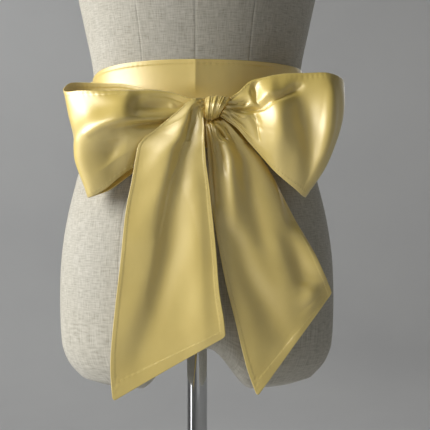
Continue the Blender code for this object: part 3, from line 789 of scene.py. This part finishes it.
def form_object():
    """The form's cover, from its neck cap down to the arch and the socket for the pole."""
    shares = np.arange(FORM_SIDES) * 360.0 / FORM_SIDES
    tight = [hips + offset for hips, _ in FORM_SEAMS for offset in SEAM_OFFSETS]
    spread = np.unique(np.round(np.mod(np.concatenate((shares, tight)), 360.0), 3))
    keep = np.concatenate(([True], np.diff(spread) > SEAM_MIN_TURN))
    angles = spread[keep]
    top, bottom = FORM_ROWS[-1][0], FORM_ROWS[0][0]
    turns = sorted((hips % 360, waist % 360) for hips, waist in FORM_SEAMS) + [(360, 360)]
    swung = np.interp(angles, *zip(*turns)) - angles

    def cover_ring(height):
        """One ring of the cover, with its columns swung along the seams and the seams pulled in."""
        share = smooth_step(*SEAM_SWING_IN, height) * (1 - smooth_step(*SEAM_SWING_OUT, height))
        lift = np.zeros(len(angles))
        pull = 1 + SEAM_PULL * np.sin(height / SEAM_PULL_PITCH)
        for hips, _ in FORM_SEAMS:
            away = (angles - hips + 180) % 360 - 180
            run = np.radians(away) * FORM_RADIUS
            lift -= SEAM_DEPTH * pull * np.exp(-(run / SEAM_WIDTH) ** 2)
            beside = (np.abs(run) - SEAM_ALLOWANCE / 2) / SEAM_ALLOWANCE_WIDTH
            lift += SEAM_ALLOWANCE_LIFT * np.exp(-beside ** 2)
        return form_point(angles + swung * share, height, lift)

    def arch(across):
        """How far the underside rises between the two stubs."""
        return ARCH_HEIGHT * (1 - smooth_step(ARCH_FLAT, ARCH_REACH, np.abs(across)))

    rings = []
    neck = form_point(angles, top)
    for scale, rise in NECK_CAP_ROWS:
        ring = neck.copy()
        ring[:, :2] *= scale
        ring[:, 2] = top + rise
        rings.append(ring)
    for height in np.arange(top, STUB_TOP, -FORM_STEP):
        rings.append(cover_ring(height))
    for step in range(STUB_STEPS + 1):
        share = step / STUB_STEPS
        ring = cover_ring(STUB_TOP + (bottom - STUB_TOP) * share)
        ring[:, 2] += arch(ring[:, 0]) * share
        rings.append(ring)
    border = rings[-1]
    bore = (POLE_RADIUS + GAP) / MM
    circle = np.column_stack((bore * np.sin(np.radians(angles)), -bore * np.cos(np.radians(angles))))
    for step in range(1, UNDERSIDE_STEPS + 1):
        scale = 1 - (step / UNDERSIDE_STEPS) ** UNDERSIDE_EASE
        plan = circle + (border[:, :2] - circle) * scale
        level = bottom - UNDERSIDE_LIP * smooth_step(1.0, 0.9, scale) + arch(plan[:, 0])
        rings.append(np.column_stack((plan, level)))
    socket_top = np.full(len(angles), bottom - UNDERSIDE_LIP + ARCH_HEIGHT + SOCKET_DEPTH)
    for scale in (1.0, CLOSING_SHARE):
        rings.append(np.column_stack((circle * scale, socket_top)))
    grid = np.array(rings)
    levels, count = grid.shape[:2]
    faces = []
    for i in range(levels - 1):
        for j in range(count):
            n = (j + 1) % count
            faces.append((i * count + j, (i + 1) * count + j, (i + 1) * count + n, i * count + n))
    faces.append(tuple(range(count)))
    faces.append(tuple(reversed(range((levels - 1) * count, levels * count))))
    runs = np.linalg.norm(np.diff(grid[:, 0], axis=0), axis=1)
    flat = np.empty((levels, count, 2))
    flat[..., 0] = np.radians(angles)[None, :] * FORM_RADIUS
    flat[..., 1] = np.cumsum(np.concatenate(([0], runs)))[:, None]
    return new_object("form_cover", grid.reshape(-1, 3), faces, flat.reshape(-1, 2))


def turned_object(name, profile):
    """Body turned round the vertical axis from a profile of radius and height in metres."""
    verts, faces = [], []
    angles = np.arange(TURN_SIDES) * 2 * np.pi / TURN_SIDES
    for radius, height in profile:
        size = max(radius, TURN_CENTRE)
        for angle in angles:
            verts.append((size * math.sin(angle) / MM, -size * math.cos(angle) / MM, height / MM))
    for i in range(len(profile) - 1):
        for j in range(TURN_SIDES):
            n = (j + 1) % TURN_SIDES
            a, b = i * TURN_SIDES, (i + 1) * TURN_SIDES
            faces.append((a + j, b + j, b + n, a + n))
    faces.append(tuple(range(TURN_SIDES)))
    last = (len(profile) - 1) * TURN_SIDES
    faces.append(tuple(reversed(range(last, last + TURN_SIDES))))
    item = new_object(name, verts, faces)
    item.data.set_sharp_from_angle(angle=math.radians(TURN_SHARP_ANGLE))
    return item


class Nodes:
    """Small helper that adds shader nodes and links them."""

    def __init__(self, name):
        self.material = bpy.data.materials.new(name)
        self.material.use_nodes = True
        self.tree = self.material.node_tree
        self.shader = self.tree.nodes["Principled BSDF"]

    def add(self, kind, inputs=(), **settings):
        node = self.tree.nodes.new(kind)
        for key, value in settings.items():
            setattr(node, key, value)
        for socket, value in dict(inputs).items():
            if hasattr(value, "is_output"):
                self.tree.links.new(value, node.inputs[socket])
            else:
                node.inputs[socket].default_value = value
        return node

    def link(self, output, socket):
        self.tree.links.new(output, self.shader.inputs[socket])

    def set(self, **values):
        for socket, value in values.items():
            self.shader.inputs[socket.replace("_", " ")].default_value = value

    def ramp(self, factor, stops):
        node = self.add("ShaderNodeValToRGB", {"Fac": factor})
        elements = node.color_ramp.elements
        while len(elements) < len(stops):
            elements.new(0.5)
        for element, (position, colour) in zip(elements, stops):
            element.position = position
            element.color = (*colour, 1.0)
        return node.outputs["Color"]


def satin_material():
    """Pale yellow satin: smooth, with broad soft highlights and a faint grain along the weave."""
    m = Nodes("satin")
    flat = m.add("ShaderNodeUVMap", uv_map="cloth").outputs["UV"]
    drawn = m.add("ShaderNodeMapping", {"Vector": flat, "Scale": (260.0, 2600.0, 1.0)}).outputs["Vector"]
    grain = m.add("ShaderNodeTexNoise", {"Vector": drawn, "Scale": 1.0, "Detail": 2.0}).outputs["Fac"]
    patches = m.add("ShaderNodeTexNoise", {"Vector": flat, "Scale": 42.0, "Detail": 3.0}).outputs["Fac"]
    colour = m.ramp(patches, [(0.3, (0.78, 0.585, 0.135)), (0.7, (0.82, 0.625, 0.155))])
    m.link(colour, "Base Color")
    rough = m.add("ShaderNodeMapRange", {"Value": grain, "To Min": 0.40, "To Max": 0.48}).outputs["Result"]
    m.link(rough, "Roughness")
    bump = m.add("ShaderNodeBump", {"Height": grain, "Strength": 0.08, "Distance": 0.0002})
    m.link(bump.outputs["Normal"], "Normal")
    m.set(Metallic=0.1, Specular_IOR_Level=1.0, IOR=1.6, Anisotropic=0.4,
          Sheen_Weight=0.1, Sheen_Roughness=0.4, Coat_Weight=1.0, Coat_Roughness=0.38, Coat_IOR=1.8)
    return m.material


def thread_material():
    """Thread of the hems, a little darker than the cloth."""
    m = Nodes("sewing_thread")
    place = m.add("ShaderNodeTexCoord").outputs["Object"]
    twist = m.add("ShaderNodeTexNoise", {"Vector": place, "Scale": 3000.0}).outputs["Fac"]
    m.link(m.ramp(twist, [(0.3, (0.56, 0.44, 0.17)), (0.7, (0.70, 0.57, 0.26))]), "Base Color")
    m.set(Roughness=0.5, Sheen_Weight=0.1)
    return m.material


def linen_material():
    """Natural linen: a plain weave of uneven threads with slubs and faint patches of tone."""
    m = Nodes("linen")
    flat = m.add("ShaderNodeUVMap", uv_map="cloth").outputs["UV"]
    warp_place = m.add("ShaderNodeMapping", {"Vector": flat, "Scale": (900.0, 75.0, 1.0)}).outputs["Vector"]
    weft_place = m.add("ShaderNodeMapping", {"Vector": flat, "Scale": (75.0, 900.0, 1.0)}).outputs["Vector"]
    warp = m.add("ShaderNodeTexNoise", {"Vector": warp_place, "Scale": 1.0, "Detail": 3.0}).outputs["Fac"]
    weft = m.add("ShaderNodeTexNoise", {"Vector": weft_place, "Scale": 1.0, "Detail": 3.0}).outputs["Fac"]
    weave = m.add("ShaderNodeMath", {0: warp, 1: weft}, operation="ADD").outputs[0]
    half = m.add("ShaderNodeMath", {0: weave, 1: 0.5}, operation="MULTIPLY").outputs[0]
    patches = m.add("ShaderNodeTexNoise", {"Vector": flat, "Scale": 9.0, "Detail": 4.0}).outputs["Fac"]
    thread = m.ramp(half, [(0.36, (0.345, 0.325, 0.275)), (0.5, (0.48, 0.46, 0.40)),
                           (0.64, (0.58, 0.56, 0.50))])
    tone = m.ramp(patches, [(0.3, (0.93, 0.92, 0.89)), (0.7, (1.0, 1.0, 1.0))])
    mixed = m.add("ShaderNodeMix", {"Factor": 1.0, 6: thread, 7: tone},
                  data_type="RGBA", blend_type="MULTIPLY")
    m.link(mixed.outputs[2], "Base Color")
    bump = m.add("ShaderNodeBump", {"Height": half, "Strength": 0.5, "Distance": 0.0005})
    m.link(bump.outputs["Normal"], "Normal")
    m.set(Roughness=0.92, Specular_IOR_Level=0.2, Sheen_Weight=0.15, Sheen_Roughness=0.6)
    return m.material


def chrome_material():
    """Polished chrome with faint wipe marks."""
    m = Nodes("chrome")
    place = m.add("ShaderNodeTexCoord").outputs["Object"]
    drawn = m.add("ShaderNodeMapping", {"Vector": place, "Scale": (30.0, 30.0, 4.0)}).outputs["Vector"]
    marks = m.add("ShaderNodeTexNoise", {"Vector": drawn, "Scale": 6.0, "Detail": 4.0}).outputs["Fac"]
    m.link(m.add("ShaderNodeMapRange", {"Value": marks, "To Min": 0.05, "To Max": 0.14}).outputs["Result"],
           "Roughness")
    m.link(m.ramp(marks, [(0.3, (0.66, 0.67, 0.67)), (0.7, (0.74, 0.745, 0.745))]), "Base Color")
    m.set(Metallic=1.0)
    return m.material


def stage_material():
    """Plain pale floor with a faint change of tone."""
    m = Nodes("plain_floor")
    place = m.add("ShaderNodeTexCoord").outputs["Object"]
    speckle = m.add("ShaderNodeTexNoise", {"Vector": place, "Scale": 2.0, "Detail": 3.0}).outputs["Fac"]
    m.link(m.ramp(speckle, [(0.3, (0.64, 0.64, 0.64)), (0.7, (0.67, 0.67, 0.665))]), "Base Color")
    m.set(Roughness=0.95, Specular_IOR_Level=0.1)
    return m.material


def dress(piece, material, node):
    """Gives a piece that stands for a solid its material and its place in the frame."""
    piece.data.materials.append(material)
    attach(piece, "root")
    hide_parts(node)


def trim(piece, material):
    """Gives a piece that stands for no solid its material and its place in the frame."""
    piece.data.materials.append(material)
    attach(piece, "root")


def area_light(name, place, target, size, energy, colour):
    """A rectangular soft light at a place, turned to a target, which the camera doesn't see."""
    data = bpy.data.lights.new(name, "AREA")
    data.shape = "RECTANGLE"
    data.size, data.size_y = size
    data.energy = energy
    data.color = colour
    lamp = bpy.data.objects.new(name, data)
    bpy.context.scene.collection.objects.link(lamp)
    lamp.location = place
    lamp.rotation_euler = (Vector(target) - Vector(place)).to_track_quat("-Z", "Y").to_euler()
    lamp.visible_camera = False


def build_stage():
    """A plain pale floor that turns up into a wall all round, open at the top."""
    turns = np.radians(np.linspace(0, 90, STAGE_STEPS))
    rows = [(0.0, 0.0)]
    rows += [(STAGE_FLOOR + STAGE_COVE * math.sin(t), STAGE_COVE * (1 - math.cos(t))) for t in turns]
    rows.append((STAGE_FLOOR + STAGE_COVE, STAGE_HEIGHT))
    verts, faces = [], []
    for radius, height in rows:
        size = max(radius, STAGE_CENTRE)
        for k in range(STAGE_SIDES):
            angle = 2 * math.pi * k / STAGE_SIDES
            verts.append((size * math.sin(angle) / MM, -size * math.cos(angle) / MM, height / MM))
    for i in range(len(rows) - 1):
        a, b = i * STAGE_SIDES, (i + 1) * STAGE_SIDES
        for k in range(STAGE_SIDES):
            n = (k + 1) % STAGE_SIDES
            faces.append((a + k, a + n, b + n, b + k))
    faces.append(tuple(reversed(range(STAGE_SIDES))))
    item = new_object("studio_floor", verts, faces)
    item.data.materials.append(stage_material())


def build_lights():
    """A large soft window at the viewer's left, with weak fills and a wash on the wall behind."""
    area_light("window_left", (-1.90, -0.70, 1.55), (0, 0, 0.85), (1.7, 1.5), 65, (1.0, 0.99, 0.965))
    area_light("strip_left", (-1.55, -0.62, 0.42), (0, 0, 0.55), (0.35, 0.8), 2.0, (1.0, 1.0, 1.0))
    area_light("front_fill", (0.6, -2.3, 1.5), (0, 0, 0.8), (1.6, 1.6), 1.0, (0.97, 0.98, 1.0))
    area_light("back_fill", (0.9, 2.2, 1.9), (0, 0, 0.85), (1.6, 1.6), 9, (1.0, 1.0, 1.0))
    area_light("wall_wash", (-1.2, 2.2, 2.2), (-1.0, 3.96, 0.9), (1.6, 0.8), 9, (0.97, 0.99, 1.0))
    world = bpy.data.worlds.new("room")
    bpy.context.scene.world = world
    world.use_nodes = True
    world.node_tree.nodes["Background"].inputs["Color"].default_value = (0.80, 0.83, 0.86, 1)
    world.node_tree.nodes["Background"].inputs["Strength"].default_value = 0.035


def build_camera():
    """The photograph's camera: level, in front of the bow and a little to its right."""
    data = bpy.data.cameras.new("camera")
    data.sensor_width = 36.0
    data.lens = 36.0 * 971 / 430
    camera = bpy.data.objects.new("camera", data)
    bpy.context.scene.collection.objects.link(camera)
    camera.location = (0.0222, -1.2, 0.785)
    camera.rotation_euler = (math.pi / 2, 0, 0)
    bpy.context.scene.camera = camera


def build_stand(chrome):
    """Base plate with its hub, and the pole in it, each as rows of radius and height."""
    bore = POLE_RADIUS + GAP
    base = turned_object("base_plate", [
        (0, 0), (BASE_RADIUS - 0.001, 0), (BASE_RADIUS - 0.0003, 0.0003), (BASE_RADIUS, 0.001),
        (BASE_RADIUS, BASE_THICKNESS - 0.004), (BASE_RADIUS - 0.0003, BASE_THICKNESS - 0.0025),
        (BASE_RADIUS - 0.0015, BASE_THICKNESS - 0.001), (BASE_RADIUS - 0.004, BASE_THICKNESS),
        (HUB_RADIUS + 0.012, BASE_THICKNESS + 0.001), (HUB_RADIUS + 0.006, 0.0102),
        (HUB_RADIUS + 0.003, 0.012), (HUB_RADIUS + 0.0008, 0.015), (HUB_RADIUS, 0.018),
        (HUB_RADIUS, HUB_HEIGHT - 0.002), (HUB_RADIUS - 0.0006, HUB_HEIGHT - 0.0006),
        (HUB_RADIUS - 0.002, HUB_HEIGHT), (bore + 0.001, HUB_HEIGHT), (bore, HUB_HEIGHT - 0.001),
        (bore, BORE_FLOOR), (0, BORE_FLOOR),
    ])
    dress(base, chrome, "stand_base")
    foot = BORE_FLOOR + GAP
    pole = turned_object("pole_tube", [
        (0, foot), (POLE_RADIUS - 0.001, foot), (POLE_RADIUS - 0.0003, foot + 0.0003),
        (POLE_RADIUS, foot + 0.001), (POLE_RADIUS, POLE_TOP - 0.001),
        (POLE_RADIUS - 0.0003, POLE_TOP - 0.0003), (POLE_RADIUS - 0.001, POLE_TOP), (0, POLE_TOP),
    ])
    dress(pole, chrome, "stand_pole")


def build_cloth(satin, thread):
    """Every stretch of the sash, with the stitches of its hems."""
    grid, thickness, places = band_grid()
    band = cloth_object("sash_band_cloth", grid, thickness, places, ring=True)
    dress(band, satin, "sash_waist_band")
    sewn = hem_stitches("sash_band_stitches", grid, thickness, places, False, ring=True)
    trim(sewn, thread)
    laps = (("left", WRAP_LEFT_ROWS, -1, (0.42, 0.075)), ("right", WRAP_RIGHT_ROWS, 1, (0.42, 0.075)))
    for word, rows, side, size in laps:
        grid, thickness, places = wrap_grid(rows, side)
        lap = cloth_object(f"sash_wrap_{word}_cloth", grid, thickness, places)
        dress(lap, satin, f"sash_wrap_{word}")
        sewn = hem_stitches(f"sash_wrap_{word}_stitches", grid, thickness, places, False)
        trim(sewn, thread)
    grid, thickness, places = knot_grid()
    knot = cloth_object("sash_knot_cloth", grid, thickness, places, ring=True)
    dress(knot, satin, "sash_knot")
    loops = (("left", LOOP_LEFT_ROWS, LOOP_LEFT_FOLDS + LOOP_LEFT_CREASES, 11, (0.125, 0.335)),
             ("right", LOOP_RIGHT_ROWS, LOOP_RIGHT_FOLDS + LOOP_RIGHT_CREASES, 23, (0.125, 0.31)))
    for word, rows, folds, seed, size in loops:
        grid, thickness, places = strip_grid(rows, LOOP_LENGTH, LOOP_COLUMNS, LOOP_LINES, folds, seed,
                                             LOOP_GATHERS, False)
        loop = cloth_object(f"sash_loop_{word}_cloth", grid, thickness, places)
        dress(loop, satin, f"sash_loop_{word}")
        sewn = hem_stitches(f"sash_loop_{word}_stitches", grid, thickness, places, False)
        trim(sewn, thread)
    tails = (("left", TAIL_LEFT_ROWS, TAIL_LEFT_FOLDS + TAIL_LEFT_CREASES, 37, (0.125, 0.30)),
             ("right", TAIL_RIGHT_ROWS, TAIL_RIGHT_FOLDS + TAIL_RIGHT_CREASES, 41, (0.125, 0.27)))
    for word, rows, folds, seed, size in tails:
        grid, thickness, places = strip_grid(rows, TAIL_LENGTH, TAIL_COLUMNS, TAIL_LINES, folds, seed,
                                             TAIL_GATHERS, True)
        tail = cloth_object(f"sash_tail_{word}_cloth", grid, thickness, places)
        dress(tail, satin, f"sash_tail_{word}")
        sewn = hem_stitches(f"sash_tail_{word}_stitches", grid, thickness, places, True)
        trim(sewn, thread)


def main():
    build_stage()
    build_lights()
    build_camera()
    satin = satin_material()
    thread = thread_material()
    form = form_object()
    dress(form, linen_material(), "form_torso")
    build_stand(chrome_material())
    build_cloth(satin, thread)
    bpy.context.scene.view_settings.view_transform = "Standard"


main()
